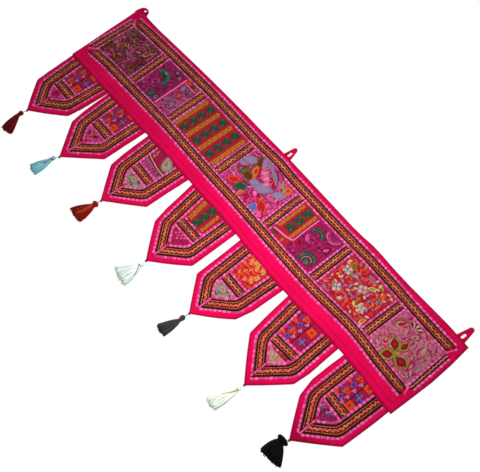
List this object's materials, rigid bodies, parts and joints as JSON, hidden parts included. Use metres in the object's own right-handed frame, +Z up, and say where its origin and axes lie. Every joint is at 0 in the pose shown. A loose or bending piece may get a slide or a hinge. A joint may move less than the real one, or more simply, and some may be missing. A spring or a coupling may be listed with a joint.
{
  "type": "door valance",
  "caption": "Patchwork door valance: a long header band with hanging loops, pointed flaps edged with woven braid, and a thread tassel under each point.",
  "frame": {"origin": "middle of the header's top edge, on the header cloth's middle plane", "axes": "+X along the header, to the right seen from the front; +Y from front to back, so the patchwork side faces -Y; +Z up"},
  "size_m": [1.0225, 0.0399, 0.4585],
  "materials": {
    "pink_cloth": "matte woven cotton, hot pink",
    "braid": "woven braid, dark edges with rust, olive and salmon bands",
    "thread_maroon": "soft cotton thread",
    "thread_teal": "soft cotton thread",
    "thread_brick": "soft cotton thread",
    "thread_mint": "soft cotton thread",
    "thread_slate": "soft cotton thread",
    "thread_pale_mint": "soft cotton thread",
    "thread_black": "soft cotton thread"
  },
  "bodies": {
    "root": {"header": "pink_cloth", "loop_left": "pink_cloth", "loop_middle": "pink_cloth", "loop_right": "pink_cloth", "braid_top": "braid", "braid_bottom": "braid", "braid_left": "braid", "braid_right": "braid", "bar_1": "braid", "bar_2": "braid", "bar_3": "braid", "bar_4": "braid", "bar_5": "braid", "bar_6": "braid", "braid_1_left": "braid", "braid_1_right": "braid", "cross_1": "braid", "braid_2_left": "braid", "braid_2_right": "braid", "cross_2": "braid", "braid_3_left": "braid", "braid_3_right": "braid", "cross_3": "braid", "braid_4_left": "braid", "braid_4_right": "braid", "cross_4": "braid", "braid_5_left": "braid", "braid_5_right": "braid", "cross_5": "braid", "braid_6_left": "braid", "braid_6_right": "braid", "cross_6": "braid", "braid_7_left": "braid", "braid_7_right": "braid", "cross_7": "braid", "flap_1": "pink_cloth", "tassel_1": "thread_maroon", "flap_2": "pink_cloth", "tassel_2": "thread_teal", "flap_3": "pink_cloth", "tassel_3": "thread_brick", "flap_4": "pink_cloth", "tassel_4": "thread_mint", "flap_5": "pink_cloth", "tassel_5": "thread_slate", "flap_6": "pink_cloth", "tassel_6": "thread_pale_mint", "flap_7": "pink_cloth", "tassel_7": "thread_black"}
  },
  "joints": []
}
